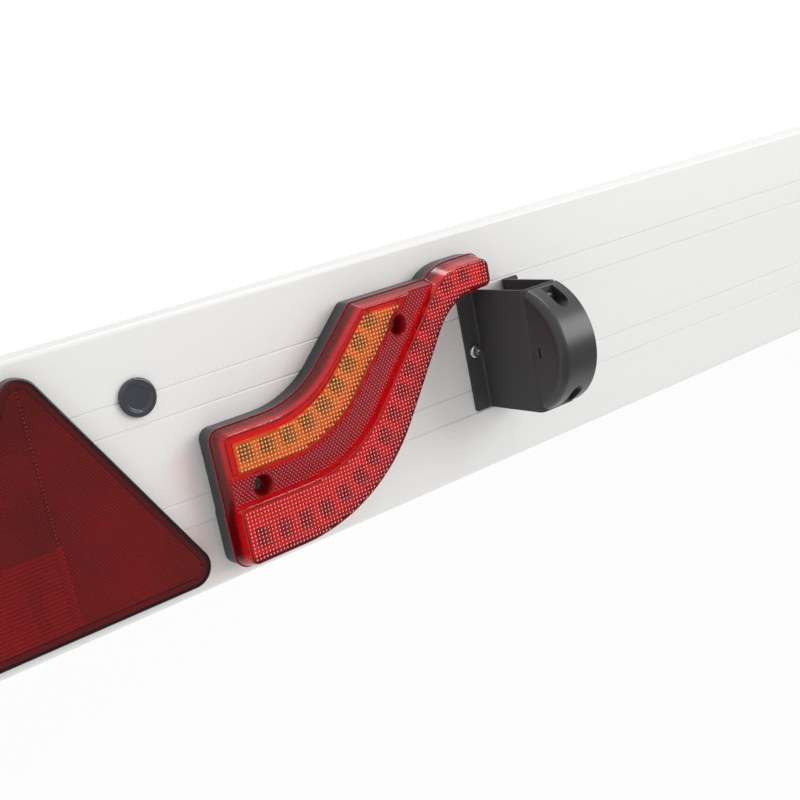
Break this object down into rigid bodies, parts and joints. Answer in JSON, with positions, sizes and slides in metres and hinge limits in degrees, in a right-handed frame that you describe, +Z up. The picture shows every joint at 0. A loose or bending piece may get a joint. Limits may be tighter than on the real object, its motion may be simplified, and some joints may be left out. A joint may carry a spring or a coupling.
{
  "type": "trailer lighting board",
  "caption": "White hollow-section trailer lighting board with triangular reflectors, S-shaped red and amber LED rear lamps and hooded number-plate lamps on folded brackets.",
  "frame": {"origin": "on the board's back face, midway between the two holes of the fixing bolts", "axes": "+X along the board, to the right for someone who faces the lamps; +Y out of the back face; +Z up"},
  "size_m": [1.37, 0.0901, 0.14],
  "materials": {
    "white_pvc": "satin extruded white PVC",
    "black_rubber": "moulded black rubber",
    "red_lens": "polished transparent red acrylic",
    "amber_lens": "polished transparent amber acrylic",
    "bright_tray": "bright metallised plastic",
    "circuit_board": "dark circuit board",
    "led_body": "moulded LED bodies",
    "black_plastic": "moulded black ABS",
    "plug_plastic": "glossy black polyethylene",
    "hood_plastic": "satin black ABS",
    "black_steel": "satin black powder coat on steel",
    "zinc_steel": "bright zinc-plated steel",
    "black_screws": "black-passivated steel",
    "clear_lens": "clear acrylic"
  },
  "bodies": {
    "root": {"board_profile": "white_pvc", "left_end_cap": "white_pvc", "right_end_cap": "white_pvc", "feed_grommet": "black_rubber", "left_reflector_lens": "red_lens", "right_reflector_lens": "red_lens", "left_reflector_base": "black_plastic", "right_reflector_base": "black_plastic", "left_fixing_plug": "plug_plastic", "right_fixing_plug": "plug_plastic", "left_lamp_base": "black_plastic", "right_lamp_base": "black_plastic", "left_lamp_lens": "red_lens", "right_lamp_lens": "red_lens", "left_indicator_lens": "amber_lens", "right_indicator_lens": "amber_lens", "left_lamp_reflector": "bright_tray", "right_lamp_reflector": "bright_tray", "left_led_board": "circuit_board", "right_led_board": "circuit_board", "left_indicator_leds": "led_body", "right_indicator_leds": "led_body", "left_tail_leds": "led_body", "right_tail_leds": "led_body", "left_lamp_grommet": "black_rubber", "right_lamp_grommet": "black_rubber", "left_lamp_screws": "black_screws", "right_lamp_screws": "black_screws", "left_plate_lamp_bracket": "black_steel", "right_plate_lamp_bracket": "black_steel", "left_bracket_screws": "zinc_steel", "right_bracket_screws": "zinc_steel", "left_plate_lamp_hood": "hood_plastic", "right_plate_lamp_hood": "hood_plastic", "left_plate_lamp_lens": "clear_lens", "right_plate_lamp_lens": "clear_lens", "left_plate_lamp_board": "circuit_board", "right_plate_lamp_board": "circuit_board", "left_plate_lamp_leds": "led_body", "right_plate_lamp_leds": "led_body", "left_plate_lamp_screws": "black_screws", "right_plate_lamp_screws": "black_screws"}
  },
  "joints": []
}
